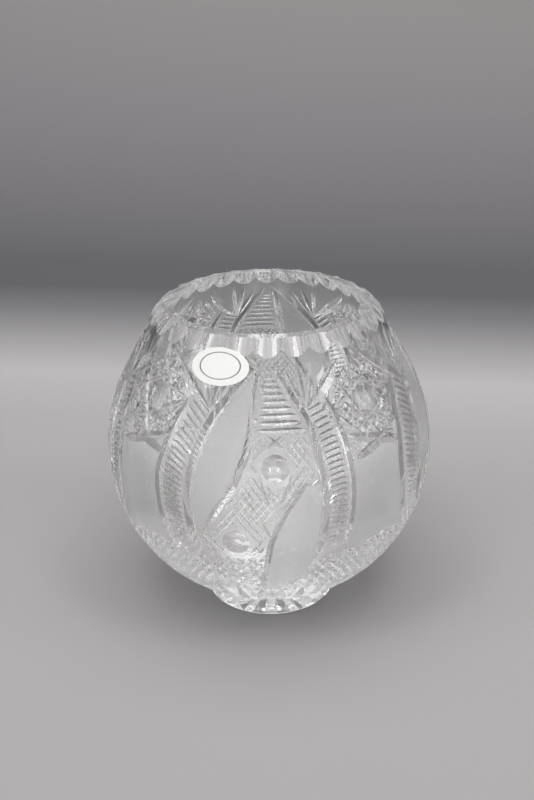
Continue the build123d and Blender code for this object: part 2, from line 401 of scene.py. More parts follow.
def wheel_cut_tree():
    """Geometry nodes that wrap pattern lines on the bowl and sweep a cutting wheel's V along them."""
    tree = bpy.data.node_groups.new("wheel_cut", "GeometryNodeTree")
    sockets = tree.interface
    sockets.new_socket("Lines", in_out="INPUT", socket_type="NodeSocketGeometry")
    for name in ("Belly Radius", "Belly Height", "Shoulder Angle", "Width", "Depth", "Lift", "Run Out"):
        sockets.new_socket(name, in_out="INPUT", socket_type="NodeSocketFloat")
    for name in ("Stations", "Repeats"):
        sockets.new_socket(name, in_out="INPUT", socket_type="NodeSocketInt")
    sockets.new_socket("Material", in_out="INPUT", socket_type="NodeSocketMaterial")
    sockets.new_socket("Cutters", in_out="OUTPUT", socket_type="NodeSocketGeometry")
    given = add_node(tree, "NodeGroupInput").outputs
    number = partial(calculated, tree)
    vector, combine = "ShaderNodeVectorMath", "ShaderNodeCombineXYZ"

    curve = add_node(tree, "GeometryNodeMeshToCurve", {"Mesh": given["Lines"]}).outputs[0]
    curve = add_node(tree, "GeometryNodeCurveSplineType", {"Curve": curve}, spline_type="CATMULL_ROM")
    curve = add_node(tree, "GeometryNodeResampleCurve", {
        "Curve": curve.outputs[0], "Count": given["Stations"],
    }).outputs[0]

    # Azimuth in degrees and rise in millimetres, to a direction and a lean of the surface
    position = add_node(tree, "GeometryNodeInputPosition").outputs[0]
    place = add_node(tree, "ShaderNodeSeparateXYZ", {0: position})
    turn = number("RADIANS", place.outputs["X"])
    rise = number("MULTIPLY", place.outputs["Y"], MM)
    share = number("DIVIDE", rise, given["Belly Radius"])
    lean = number("ARCSINE", share)
    lean = number("MINIMUM", lean, given["Shoulder Angle"])
    level = number("COSINE", lean)
    steep = number("SINE", lean)
    east = number("SINE", turn)
    north = number("COSINE", turn)
    south = number("MULTIPLY", north, -1.0)
    away = add_node(tree, combine, {"X": east, "Y": south}).outputs[0]

    # Radius: the ball's, less the straight shoulder's slope above the ball
    edge = number("SINE", given["Shoulder Angle"])
    edge = number("MULTIPLY", edge, given["Belly Radius"])
    over = number("SUBTRACT", rise, edge)
    over = number("MAXIMUM", over, 0.0)
    slope = number("TANGENT", given["Shoulder Angle"])
    drawn_in = number("MULTIPLY", over, slope)
    radius = number("MULTIPLY", level, given["Belly Radius"])
    radius = number("SUBTRACT", radius, drawn_in)
    height = number("ADD", rise, given["Belly Height"])
    height = add_node(tree, combine, {"Z": height}).outputs[0]
    spot = add_node(tree, vector, {0: away, "Scale": radius}, operation="SCALE").outputs[0]
    spot = add_node(tree, vector, {0: spot, 1: height}, operation="ADD").outputs[0]
    normal = add_node(tree, vector, {0: away, "Scale": level}, operation="SCALE").outputs[0]
    upright = add_node(tree, combine, {"Z": steep}).outputs[0]
    normal = add_node(tree, vector, {0: normal, 1: upright}, operation="ADD").outputs[0]

    # The wheel lifts off towards both ends of its cut
    along = add_node(tree, "GeometryNodeSplineParameter").outputs["Factor"]
    end = number("MULTIPLY_ADD", along, 2.0, -1.0)
    end = number("ABSOLUTE", end)
    end = number("POWER", end, given["Run Out"])
    raised = number("MULTIPLY", end, given["Depth"])
    raised = add_node(tree, vector, {0: normal, "Scale": raised}, operation="SCALE").outputs[0]

    # These fields read the place in the pattern, so they are kept before the line moves
    kept = add_node(tree, "GeometryNodeCaptureAttribute", {"Geometry": curve}, domain="POINT")
    for name, field in (("Spot", spot), ("Normal", normal), ("Raised", raised)):
        kept.capture_items.new("VECTOR", name)
        tree.links.new(field, kept.inputs[name])
    moved = add_node(tree, "GeometryNodeSetPosition", {
        "Geometry": kept.outputs["Geometry"],
        "Position": kept.outputs["Spot"],
        "Offset": kept.outputs["Raised"],
    })
    moved = add_node(tree, "GeometryNodeSetCurveNormal", {
        "Curve": moved.outputs[0], "Normal": kept.outputs["Normal"],
    }, mode="FREE")

    # V of the wheel, with a narrow tip, wider above the surface so that the cut is clean
    whole = number("ADD", given["Depth"], given["Lift"])
    wider = number("DIVIDE", whole, given["Depth"])
    half = number("MULTIPLY", given["Width"], 0.5)
    half = number("MULTIPLY", half, wider)
    other = number("MULTIPLY", half, -1.0)
    deep = number("MULTIPLY", given["Depth"], -1.0)
    tip = number("MULTIPLY", given["Width"], WHEEL_TIP)
    far_tip = number("MULTIPLY", tip, -1.0)
    corners = [(deep, tip), (deep, far_tip), (given["Lift"], other), (given["Lift"], half)]
    outline = {}
    for number, (out, side) in enumerate(corners, 1):
        outline[f"Point {number}"] = add_node(tree, combine, {"X": out, "Y": side}).outputs[0]
    wheel = add_node(tree, "GeometryNodeCurvePrimitiveQuadrilateral", outline, mode="POINTS")
    swept = add_node(tree, "GeometryNodeCurveToMesh", {
        "Curve": moved.outputs[0], "Profile Curve": wheel.outputs[0], "Fill Caps": True,
    })
    ring = add_node(tree, "GeometryNodeGroup", node_tree=REPEAT_ROUND)
    tree.links.new(swept.outputs[0], ring.inputs["Shape"])
    for name in ("Repeats", "Material"):
        tree.links.new(given[name], ring.inputs[name])
    add_node(tree, "NodeGroupOutput", {"Cutters": ring.outputs[0]})
    return tree


WHEEL_CUT = wheel_cut_tree()


def plain_mesh(piece, tree, values):
    """Runs a geometry nodes tree on a piece with its named inputs set, and leaves a plain mesh."""
    modifier = piece.modifiers.new(tree.name, "NODES")
    modifier.node_group = tree
    for item in tree.interface.items_tree:
        if item.name in values:
            modifier[item.identifier] = values[item.name]
    graph = bpy.context.evaluated_depsgraph_get()
    mesh = bpy.data.meshes.new_from_object(piece.evaluated_get(graph), depsgraph=graph)
    piece.modifiers.clear()
    piece.data = mesh
    return piece


def wheel_cut(name, lines, wheel, material):
    """Cutter for lines of the pattern, all cut by one wheel."""
    width, depth, run_out, stations = wheel
    points = [(azimuth, rise, 0.0) for line in lines for azimuth, rise in line]
    edges = []
    for line in lines:
        first = edges[-1][1] + 1 if edges else 0
        edges += [(first + step, first + step + 1) for step in range(len(line) - 1)]
    mesh = bpy.data.meshes.new(name)
    mesh.from_pydata(points, edges, [])
    return plain_mesh(new_object(name, mesh), WHEEL_CUT, {
        "Belly Radius": BELLY_RADIUS,
        "Belly Height": BELLY_HEIGHT,
        "Shoulder Angle": SHOULDER_ANGLE,
        "Width": width * MM,
        "Depth": depth * MM,
        "Lift": WHEEL_LIFT * MM,
        "Run Out": run_out,
        "Stations": stations,
        "Repeats": REPEATS,
        "Material": material,
    })


def ring_of(shape, repeats, material):
    """A shape repeated round the axis, as one cutter."""
    return plain_mesh(shape, REPEAT_ROUND, {"Repeats": repeats, "Material": material})


def outer_surface(azimuth, rise, offset=0.0):
    """Point on the uncut bowl's outside, or a distance out from it, for a pattern point."""
    height = rise * MM
    lean = min(math.asin(height / BELLY_RADIUS), SHOULDER_ANGLE)
    over = max(height - SHOULDER_RISE, 0.0)
    radius = BELLY_RADIUS * math.cos(lean) - over * math.tan(SHOULDER_ANGLE)
    turn = math.radians(azimuth)
    away = Vector((math.sin(turn), -math.cos(turn), 0.0))
    normal = away * math.cos(lean) + Vector((0.0, 0.0, math.sin(lean)))
    return away * radius + Vector((0.0, 0.0, BELLY_HEIGHT + height)) + normal * (offset * MM)


def panel_cutter(name, left, right, tops, bottoms, grid, material):
    """Shallow cutter for a satin panel between two lines of the pattern, on a grid of rows and columns.

    left and right give an azimuth for a rise; tops and bottoms are (share across, rise) points.
    """
    rows, columns = grid
    vertices = []
    for offset in (-SATIN_DEPTH, CUTTER_LIFT):
        for row in np.linspace(0.0, 1.0, rows):
            for column in np.linspace(0.0, 1.0, columns):
                rise = (1 - row) * np.interp(column, *zip(*tops)) + row * np.interp(column, *zip(*bottoms))
                azimuth = (1 - column) * left(rise) + column * right(rise)
                vertices.append(outer_surface(azimuth, rise, offset))
    sheet = rows * columns
    faces = []
    for row in range(rows - 1):
        for column in range(columns - 1):
            corner = row * columns + column
            under = (corner, corner + 1, corner + columns + 1, corner + columns)
            faces += [under, tuple(index + sheet for index in under)]
    border = list(range(columns))
    border += [row * columns + columns - 1 for row in range(1, rows)]
    border += [(rows - 1) * columns + column for column in range(columns - 2, -1, -1)]
    border += [row * columns for row in range(rows - 2, 0, -1)]
    for here, after in zip(border, border[1:] + border[:1]):
        faces.append((here, after, after + sheet, here + sheet))
    return ring_of(closed_piece(name, vertices, faces, material), REPEATS, material)


def eye_cutter(name, azimuth, rise, radius, depth):
    """Ball whose cap sinks a round dished eye into the bowl, sizes in millimetres."""
    ball = (radius**2 + depth**2) / (2 * depth)
    form = bmesh.new()
    round_segments, rows = EYE_SEGMENTS
    bmesh.ops.create_uvsphere(form, u_segments=round_segments, v_segments=rows, radius=ball * MM)
    centre = outer_surface(azimuth, rise, ball - depth)
    normal = (outer_surface(azimuth, rise, 1.0) - outer_surface(azimuth, rise)).normalized()
    turn = Vector((0.0, 0.0, 1.0)).rotation_difference(normal).to_matrix().to_4x4()
    bmesh.ops.transform(form, matrix=Matrix.Translation(centre) @ turn, verts=form.verts)
    mesh = bpy.data.meshes.new(name)
    form.to_mesh(mesh)
    form.free()
    return ring_of(new_object(name, mesh), REPEATS, POLISHED)


def flute_cutter(name, first):
    """Every second flute of the rim, from the first one named: straight round cuts, deepest at the rim."""
    down = Vector((math.sin(FLUTE_ANGLE), 0.0, -math.cos(FLUTE_ANGLE)))
    out = Vector((math.cos(FLUTE_ANGLE), 0.0, math.sin(FLUTE_ANGLE)))
    start = Vector((RIM_RADIUS - FLUTE_DEPTH, 0.0, RIM_HEIGHT)) - down * FLUTE_OVERRUN + out * FLUTE_RADIUS
    side = Vector((0.0, 1.0, 0.0))
    vertices = []
    for distance in (0.0, FLUTE_REACH + FLUTE_OVERRUN):
        for step in range(FLUTE_SEGMENTS):
            turn = 2 * math.pi * step / FLUTE_SEGMENTS
            spoke_out = out * math.cos(turn) + side * math.sin(turn)
            vertices.append(start + down * distance + spoke_out * FLUTE_RADIUS)
    faces = [tuple(range(FLUTE_SEGMENTS)), tuple(range(FLUTE_SEGMENTS, 2 * FLUTE_SEGMENTS))]
    for step in range(FLUTE_SEGMENTS):
        after = (step + 1) % FLUTE_SEGMENTS
        faces.append((step, after, after + FLUTE_SEGMENTS, step + FLUTE_SEGMENTS))
    turn = Matrix.Rotation(2 * math.pi * first / FLUTE_COUNT, 3, "Z")
    flute = closed_piece(name, [turn @ vertex for vertex in vertices], faces, POLISHED)
    return ring_of(flute, FLUTE_COUNT // 2, POLISHED)


def azimuth_on(line, turned=0.0):
    """Function that gives a line's azimuth for a rise."""
    rises = [rise for _, rise in line][::-1]
    azimuths = [azimuth for azimuth, _ in line][::-1]
    return lambda rise: float(np.interp(rise, rises, azimuths)) + turned


def rungs(left, right, left_rises, right_rises, count, crowding=1.0):
    """Straight rungs between two mitres' edges: their ends go down each mitre from one rise to another."""
    shares = [(step / (count - 1)) ** crowding for step in range(count)]
    ends = []
    for share in shares:
        low_left = left_rises[0] + (left_rises[1] - left_rises[0]) * share
        low_right = right_rises[0] + (right_rises[1] - right_rises[0]) * share
        ends.append([
            (azimuth_on(left)(low_left) + MITRE_MARGIN, low_left),
            (azimuth_on(right)(low_right) - MITRE_MARGIN, low_right),
        ])
    return ends


def spoke(centre, angle, reach):
    """Pattern point a distance along the surface from a centre, turned clockwise from straight up."""
    flat = outer_surface(*centre)
    lean = min(math.asin(centre[1] * MM / BELLY_RADIUS), SHOULDER_ANGLE)
    turned = math.degrees(reach * MM * math.sin(math.radians(angle)) / math.hypot(flat.x, flat.y))
    return centre[0] + turned, centre[1] + reach * math.cos(math.radians(angle)) * math.cos(lean)


def clipped(line, inside, step=0.02):
    """The stretches of a straight pattern line that lie inside a region."""
    (start_azimuth, start_rise), (end_azimuth, end_rise) = line
    stretches, run = [], []
    for share in np.arange(0.0, 1.0 + step, step):
        azimuth = start_azimuth + (end_azimuth - start_azimuth) * share
        point = (azimuth, start_rise + (end_rise - start_rise) * share)
        if inside(*point):
            run.append(point)
            continue
        stretches.append(run)
        run = []
    stretches.append(run)
    return [[run[0], run[-1]] for run in stretches if len(run) > 2]


# Curved lines of one quarter of the pattern, from the top down
LEFT_MITRE = [(-3, 63), (-8, 59), (-12, 54), (-16, 48.5), (-20, 42), (-23, 35), (-24.5, 29), (-26, 22),
              (-27.3, 12), (-27.5, 2), (-27, -8), (-25, -21), (-22, -35)]
RIGHT_MITRE = [(1, 62), (4, 58), (7, 53.5), (10, 47.5), (13, 42), (14.8, 36), (16, 29), (16.8, 22),
               (17.5, 14), (18, 5), (17.8, -7), (17, -17), (15.5, -27)]
SWEEPING_MITRE = [(-3.5, 61), (-5, 52), (-6, 42), (-6.5, 35), (-8, 27), (-10, 20), (-12.5, 12), (-15, 7),
                  (-17.5, 1), (-20, -5), (-22, -10)]
RISING_MITRE = [(12.5, 15), (8.5, 8), (5.5, 2), (3, -5), (1.5, -10), (0, -17), (-1.5, -33), (-2, -42)]
LEFT_EDGE = [(-32, 48), (-35, 40), (-37, 33), (-38.5, 23), (-40, 11), (-38.5, -8), (-36, -21)]
RIGHT_EDGE = [(22, 48.5), (25, 42), (26, 35), (27, 29), (28, 14), (28, 2), (27.5, -8), (26.5, -20)]
RIGHT_LEAF_EDGE = RIGHT_MITRE[:-1] + [(15.5, -27), (12.5, -35), (7.5, -42), (0, -48)]
UPPER_LEAF_ENDS = (57, -9)
LOWER_LEAF_ENDS = (13, -47)
FIELD_ENDS = (35, -18)
UPPER_LEAF_GRID = (28, 8)
LOWER_LEAF_GRID = (26, 8)
FIELD_GRID = (26, 8)
PANEL_GRID = (18, 12)
PANEL_TOPS = [(0.0, 19.5), (0.6, 26.0), (1.0, 21.5)]
PANEL_BOTTOMS = [(0.0, -24.0), (0.15, -27.0), (0.6, -21.0), (1.0, -24.0)]
PANEL_HEMS = [[(29, -24.5), (31.5, -27)], [(31.5, -27), (41, -21)], [(41, -21), (50, -24.5)]]
CROSSING_MITRES = [[(28.5, 31.5), (52, 22)], [(30, 20.5), (53, 31)]]

# Rungs between the mitres: the rises of the first and the last rung at their left and right ends
LADDER_RISES = ((57.5, 37), (57.5, 37))
LADDER_RUNGS = 9
LADDER_CROWDING = 1.15
RIGHT_STRIP_RISES = ((43.5, -18), (46, -18))
LEFT_STRIP_RISES = ((49, -18), (41.5, -20))
STRIP_RUNGS = 25

# Space in degrees that rungs and hatch leave beside a mitre and beside the satin leaf
MITRE_MARGIN = 1.9
LEAF_MARGIN = 1.5

# Dished eyes, the star round one of them and the fans under the rim: pattern points, sizes in millimetres
BULL_EYES = [(2, 21.5), (-11.5, -15)]
EYE_RADIUS = 7.0
EYE_DEPTH = 1.8
STAR_CENTRE = (41, 44.3)
STAR_EYE_RADIUS = 7.5
STAR_REACH = 18.8
STAR_TURN = -6.0
STAR_POINTS = 8
STAR_MARGIN = 1.2
EYE_MARGIN = 1.0
RIGHT_FAN = (14.5, 43.8)
RIGHT_FAN_TOPS = [(7, 60), (12.5, 63), (18.5, 63.5)]
RIGHT_ALMOND = (32, 61.5)
LEFT_FAN = (-22.8, 43.7)
LEFT_FAN_TOPS = [(-14, 60), (-19, 62.5), (-26, 63)]
LEFT_ALMOND = (-46, 63)
FIELD_LINES = [
    [(-3.8, 21), (0, 3.5)],
    [(8, 21), (3.2, 4)],
    [(-9.5, 12), (-3, -2)],
    [(-3, -2), (0.5, -13)],
    [(-1, 35.5), (5.5, 29)],
    [(5, 35.5), (-1.5, 29)],
]

# Hatched ground: starts and pitch in degrees, lean in degrees per millimetre of rise
FIELD_PITCH = 2.6
FIELD_LEAN = 0.55
FIELD_RISES = (36.0, -22.0)
FIELD_STARTS = (-60, -30)
FIELD_COUNT = 46
STAR_PITCH = 3.6
STAR_LEAN = 0.85
STAR_STEPS = range(-9, 10)
BAND_LINES = 22
BAND_LEAN = 0.75
BAND_RISES = (-24.0, -50.0)
PETALS = 10
PETAL_RISES = (-47.0, -72.0)

# Rises at which the field's edges pass from one mitre to another, and of the lower leaf's tip
FIELD_RIGHT_TURN = 15
FIELD_LEFT_TURN = -10
LEAF_TIP = -48

# Cutting wheels: width and depth of the V in millimetres, how late the wheel lifts off towards
# the ends of a cut, and the stations along it
LEFT_MITRE_WHEEL = (4.8, 1.8, 10.0, 34)
RIGHT_MITRE_WHEEL = (4.0, 1.5, 10.0, 34)
SWEEPING_MITRE_WHEEL = (4.2, 1.5, 10.0, 26)
RISING_MITRE_WHEEL = (3.2, 1.2, 10.0, 24)
STRIP_EDGE_WHEEL = (3.6, 1.3, 10.0, 26)
CROSSING_MITRE_WHEEL = (5.0, 1.9, 4.0, 12)
LADDER_WHEEL = (2.3, 0.65, 5.0, 8)
STRIP_WHEEL = (2.3, 0.65, 5.0, 7)
FAN_RAY_WHEEL = (2.4, 0.9, 3.0, 10)
ALMOND_WHEEL = (5.6, 1.9, 2.0, 14)
STAR_LINE_WHEEL = (2.8, 1.05, 5.0, 12)
STAR_HATCH_WHEEL = (2.2, 0.7, 3.0, 7)
FIELD_HATCH_WHEEL = (1.8, 0.42, 3.0, 8)
FIELD_LINE_WHEEL = (1.8, 0.65, 2.5, 8)
HEM_WHEEL = (1.8, 0.7, 4.0, 5)
BAND_WHEEL = (2.6, 0.75, 8.0, 9)
PETAL_WHEEL = (5.0, 1.8, 2.0, 10)


def field_edge(rise):
    """Azimuth of the hatched field's right edge: the right mitre, and below it the rising one."""
    return azimuth_on(RIGHT_MITRE if rise > FIELD_RIGHT_TURN else RISING_MITRE)(rise)


def near_eye(azimuth, rise):
    """True on a bull's-eye and just round it."""
    spot = outer_surface(azimuth, rise)
    return any((spot - outer_surface(*eye)).length < (EYE_RADIUS + EYE_MARGIN) * MM for eye in BULL_EYES)


def in_field(azimuth, rise):
    """True in the hatched field between the sweeping, rising and right mitres."""
    if not FIELD_RISES[1] < rise < FIELD_RISES[0] or near_eye(azimuth, rise):
        return False
    left = azimuth_on(SWEEPING_MITRE) if rise > FIELD_LEFT_TURN else azimuth_on(LEFT_MITRE, 1.0)
    return left(rise) + MITRE_MARGIN < azimuth < field_edge(rise) - MITRE_MARGIN


def in_star(azimuth, rise):
    """True in the ground of the star, between its eye and its points."""
    reach = (outer_surface(azimuth, rise) - outer_surface(*STAR_CENTRE)).length
    return (STAR_EYE_RADIUS + STAR_MARGIN) * MM < reach < (STAR_REACH - STAR_MARGIN) * MM


def in_band(azimuth, rise):
    """True in the hatched band round the bottom, which leaves out the satin leaf's tip."""
    turned = (azimuth + QUARTER / 2) % QUARTER - QUARTER / 2
    if not BAND_RISES[1] < rise < BAND_RISES[0]:
        return False
    leaf_left = azimuth_on(RISING_MITRE, -LEAF_MARGIN)(rise)
    leaf_right = azimuth_on(RIGHT_LEAF_EDGE, LEAF_MARGIN)(rise)
    return rise <= LEAF_TIP or not leaf_left < turned < leaf_right


def hatched(inside, starts, rises, lean):
    """Leaning straight lines of the pattern, kept where they lie inside a region."""
    lines = []
    for start in starts:
        lines += clipped([(start, rises[0]), (start + lean * (rises[0] - rises[1]), rises[1])], inside)
    return lines


def wheel_passes(name, lines, wheel, material):
    """Cutters for neighbouring lines, every second one in each pass, so that no two wheels touch."""
    for first in range(2):
        yield wheel_cut(f"{name}_{first}", lines[first::2], wheel, material)


def hatch_passes(name, inside, starts, rises, lean, wheel, material):
    """Cutters for leaning lines across a region, every second one in each pass."""
    for first in range(2):
        lines = hatched(inside, starts[first::2], rises, lean)
        yield wheel_cut(f"{name}_{first}", lines, wheel, material)


def level_ends(rises):
    """Level top and bottom of a panel, as (share across, rise) points."""
    return [[(0, rise), (1, rise)] for rise in rises]


def panel_cutters():
    """Satin leaves, the hatched field's ground and the side panels."""
    left, sweeping, rising = (azimuth_on(line) for line in (LEFT_MITRE, SWEEPING_MITRE, RISING_MITRE))
    leaf_edge = azimuth_on(RIGHT_LEAF_EDGE)
    yield panel_cutter("upper_leaf", left, sweeping, *level_ends(UPPER_LEAF_ENDS), UPPER_LEAF_GRID, SATIN)
    yield panel_cutter("lower_leaf", rising, leaf_edge, *level_ends(LOWER_LEAF_ENDS), LOWER_LEAF_GRID, SATIN)
    yield panel_cutter("field", sweeping, field_edge, *level_ends(FIELD_ENDS), FIELD_GRID, FIELD_SATIN)
    sides = azimuth_on(RIGHT_EDGE), azimuth_on(LEFT_EDGE, QUARTER)
    yield panel_cutter("side_panel", *sides, PANEL_TOPS, PANEL_BOTTOMS, PANEL_GRID, FADED_SATIN)


def mitre_cutters():
    """The long curved mitres and the broad ones that cross under the star."""
    yield wheel_cut("left_mitre", [LEFT_MITRE], LEFT_MITRE_WHEEL, POLISHED)
    yield wheel_cut("right_mitre", [RIGHT_MITRE], RIGHT_MITRE_WHEEL, POLISHED)
    yield wheel_cut("sweeping_mitre", [SWEEPING_MITRE], SWEEPING_MITRE_WHEEL, POLISHED)
    yield wheel_cut("rising_mitre", [RISING_MITRE], RISING_MITRE_WHEEL, POLISHED)
    yield wheel_cut("strip_edges", [LEFT_EDGE, RIGHT_EDGE], STRIP_EDGE_WHEEL, POLISHED)
    for number, line in enumerate(CROSSING_MITRES):
        yield wheel_cut(f"crossing_mitre_{number}", [line], CROSSING_MITRE_WHEEL, POLISHED)


def rung_cutters():
    """The ladder between the middle mitres, and the rungs of the strips on both sides."""
    ladder = rungs(SWEEPING_MITRE, RIGHT_MITRE, *LADDER_RISES, LADDER_RUNGS, LADDER_CROWDING)
    yield from wheel_passes("ladder_rungs", ladder, LADDER_WHEEL, FINE_CUT)
    strip = rungs(RIGHT_MITRE, RIGHT_EDGE, *RIGHT_STRIP_RISES, STRIP_RUNGS)
    yield from wheel_passes("right_strip_rungs", strip, STRIP_WHEEL, FINE_CUT)
    strip = rungs(LEFT_EDGE, LEFT_MITRE, *LEFT_STRIP_RISES, STRIP_RUNGS)
    yield from wheel_passes("left_strip_rungs", strip, STRIP_WHEEL, FINE_CUT)


def fan_cutters():
    """The fans under the rim: thin rays, and one almond-shaped cut in each."""
    for number, tops in enumerate(zip(RIGHT_FAN_TOPS, LEFT_FAN_TOPS)):
        rays = list(zip((RIGHT_FAN, LEFT_FAN), tops))
        yield wheel_cut(f"fan_rays_{number}", rays, FAN_RAY_WHEEL, POLISHED)
    almonds = [(RIGHT_FAN, RIGHT_ALMOND), (LEFT_FAN, LEFT_ALMOND)]
    yield wheel_cut("fan_almonds", almonds, ALMOND_WHEEL, POLISHED)


def star_cutters():
    """The star: lines from each point to the third one on, over a hatched ground."""
    turns = [STAR_TURN + 360 / STAR_POINTS * step for step in range(STAR_POINTS)]
    points = [spoke(STAR_CENTRE, turn, STAR_REACH) for turn in turns]
    half = STAR_POINTS // 2
    for step in range(half):
        line = [points[step], points[step + 3]]
        facing = [points[(step + half) % STAR_POINTS], points[(step + half + 3) % STAR_POINTS]]
        yield wheel_cut(f"star_lines_{step}", [line, facing], STAR_LINE_WHEEL, POLISHED)
    azimuth, rise = STAR_CENTRE
    rises = (rise + STAR_REACH, rise - STAR_REACH)
    for number, lean in enumerate((STAR_LEAN, -STAR_LEAN)):
        starts = [azimuth + STAR_PITCH * step - lean * STAR_REACH for step in STAR_STEPS]
        name = f"star_hatch_{number}"
        yield from hatch_passes(name, in_star, starts, rises, lean, STAR_HATCH_WHEEL, POLISHED)


def field_cutters():
    """The field's crossed hatch and its few bright lines, and the hems under the side panels."""
    for side, first, lean in zip(("left", "right"), FIELD_STARTS, (FIELD_LEAN, -FIELD_LEAN)):
        starts = [first + FIELD_PITCH * step for step in range(FIELD_COUNT)]
        name = f"field_hatch_{side}"
        yield from hatch_passes(name, in_field, starts, FIELD_RISES, lean, FIELD_HATCH_WHEEL, FINE_CUT)
    for number, line in enumerate(FIELD_LINES):
        yield wheel_cut(f"field_line_{number}", [line], FIELD_LINE_WHEEL, POLISHED)
    yield from wheel_passes("panel_hems", PANEL_HEMS, HEM_WHEEL, POLISHED)


def bottom_cutters():
    """The hatched band round the bottom and the petals over the foot."""
    starts = [QUARTER / BAND_LINES * step - QUARTER / 2 for step in range(BAND_LINES)]
    for side, lean in (("left", BAND_LEAN), ("right", -BAND_LEAN)):
        name = f"band_hatch_{side}"
        yield from hatch_passes(name, in_band, starts, BAND_RISES, lean, BAND_WHEEL, FINE_CUT)
    middles = [QUARTER / PETALS * (step + 0.5) - QUARTER / 2 for step in range(PETALS)]
    petals = [[(middle, rise) for rise in PETAL_RISES] for middle in middles]
    yield from wheel_passes("bottom_petals", petals, PETAL_WHEEL, FINE_CUT)


def pattern_cutters():
    """The cutters of the whole pattern, in the order that they are used."""
    yield from panel_cutters()
    yield flute_cutter("even_flutes", 0)
    yield flute_cutter("odd_flutes", 1)
    yield from mitre_cutters()
    yield from rung_cutters()
    yield from fan_cutters()
    yield from star_cutters()
    yield from field_cutters()
    yield from bottom_cutters()
    for number, eye in enumerate(BULL_EYES):
        yield eye_cutter(f"eye_{number}", *eye, EYE_RADIUS, EYE_DEPTH)
    yield eye_cutter("star_eye", *STAR_CENTRE, STAR_EYE_RADIUS, EYE_DEPTH)


def cut_away(piece, cutters):
    """Cuts a piece with each cutter in turn, and leaves a plain mesh with crisp edges."""
    cutters = list(cutters)
    for cutter in cutters:
        modifier = piece.modifiers.new(cutter.name, "BOOLEAN")
        modifier.solver = "MANIFOLD"
        modifier.operation = "DIFFERENCE"
        modifier.material_mode = "TRANSFER"
        modifier.object = cutter
    graph = bpy.context.evaluated_depsgraph_get()
    mesh = bpy.data.meshes.new_from_object(piece.evaluated_get(graph), depsgraph=graph)
    piece.modifiers.clear()
    piece.data = mesh
    for cutter in cutters:
        bpy.data.objects.remove(cutter)
    mesh.shade_smooth()
    mesh.set_sharp_from_angle(angle=SHARP_ANGLE)
    return piece


def mark_seam(piece):
    """Gives the flat faces at the fused joint between foot and bowl the seam's material."""
    piece.data.materials.append(SEAM)
    seam = len(piece.data.materials) - 1
    for face in piece.data.polygons:
        level = abs(face.normal.z) > LEVEL_FACE
        if level and abs(face.center.z - FOOT_HEIGHT) < SEAM_TOLERANCE:
            face.material_index = seam


def star_foot():
    """Foot: a collar that flares to the standing ring, with a dished and star-cut underside."""
    dish_radius = FOOT_RADIUS - FOOT_EDGE - STANDING_RING
    profile = [
        (0.0, DISH_DEPTH),
        (dish_radius, 0.0),
        (FOOT_RADIUS - FOOT_EDGE, 0.0),
        (FOOT_RADIUS, FOOT_EDGE),
        (SEAT_RADIUS, FOOT_HEIGHT),
        (0.0, FOOT_HEIGHT),
    ]
    foot = revolved("star_cut_foot", profile, POLISHED)
    half = STAR_RAY_WIDTH / 2
    vertices = []
    for reach, level in ((0.0, DISH_DEPTH), (dish_radius, 0.0)):
        section = [(0.0, level + STAR_RAY_DEPTH), (half, level), (0.0, -STAR_RAY_DEPTH), (-half, level)]
        vertices += [Vector((reach, side, height)) for side, height in section]
    faces = [(0, 1, 2, 3), (4, 5, 6, 7)]
    for corner in range(4):
        after = (corner + 1) % 4
        faces.append((corner, after, after + 4, corner + 4))
    rays = []
    for step in range(STAR_RAYS):
        turn = Matrix.Rotation(2 * math.pi * step / STAR_RAYS, 3, "Z")
        ray = [turn @ vertex for vertex in vertices]
        rays.append(closed_piece(f"star_ray_{step}", ray, faces, FINE_CUT))
    return cut_away(foot, rays)


bowl = cut_away(blown_bowl(), pattern_cutters())
mark_seam(bowl)
foot = star_foot()
mark_seam(foot)
for piece, node in ((bowl, "crystal_bowl"), (foot, "crystal_foot")):
    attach(piece, "root")
    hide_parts(node)


def dress(node, material):
    """Gives a CAD node, whose shape is right, its finish."""
    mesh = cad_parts[node].data
    mesh.materials.clear()
    mesh.materials.append(material)


dress("label_adhesive", clear_adhesive())
dress("label_paper", coated_paper())


# Camera at the photograph's angle: lens and place fit the bowl's outline in the 534 by 800 frame
FRAME_HEIGHT = 800
SENSOR_HEIGHT = 36.0
LENS_PIXELS = 1310.27
CAMERA_DISTANCE = 0.650
CAMERA_ELEVATION = math.radians(25.274)
CAMERA_ROLL = 0.01474
TARGET_HEIGHT = 0.083
TARGET_SHIFT = (-2.02, 38.77)


def photo_camera():
    """Camera that looks at the vase as the photograph does."""
    data = bpy.data.cameras.new("photo_camera")
    data.sensor_fit = "VERTICAL"
    data.sensor_height = SENSOR_HEIGHT
    data.lens = LENS_PIXELS / FRAME_HEIGHT * data.sensor_height
    data.shift_x, data.shift_y = (shift / FRAME_HEIGHT for shift in TARGET_SHIFT)
    camera = bpy.data.objects.new("photo_camera", data)
    bpy.context.scene.collection.objects.link(camera)
    back = Vector((0.0, -math.cos(CAMERA_ELEVATION), math.sin(CAMERA_ELEVATION)))
    right = Vector((1.0, 0.0, 0.0))
    up = back.cross(right)
    turned = Matrix((right, up, back)).transposed() @ Matrix.Rotation(-CAMERA_ROLL, 3, "Z")
    place = Vector((0.0, 0.0, TARGET_HEIGHT)) + back * CAMERA_DISTANCE
    camera.matrix_world = Matrix.Translation(place) @ turned.to_4x4()
    bpy.context.scene.camera = camera


# Pale sweep: a table top that runs back and turns up into a grey backdrop, in metres
FLOOR_GAP = 0.3 * MM
TABLE_FRONT = -2.0
TABLE_BACK = 0.55
SWEEP_RADIUS = 0.35
SWEEP_STEPS = 12
SWEEP_HALF_WIDTH = 2.5
BACKDROP_TOP = 1.6

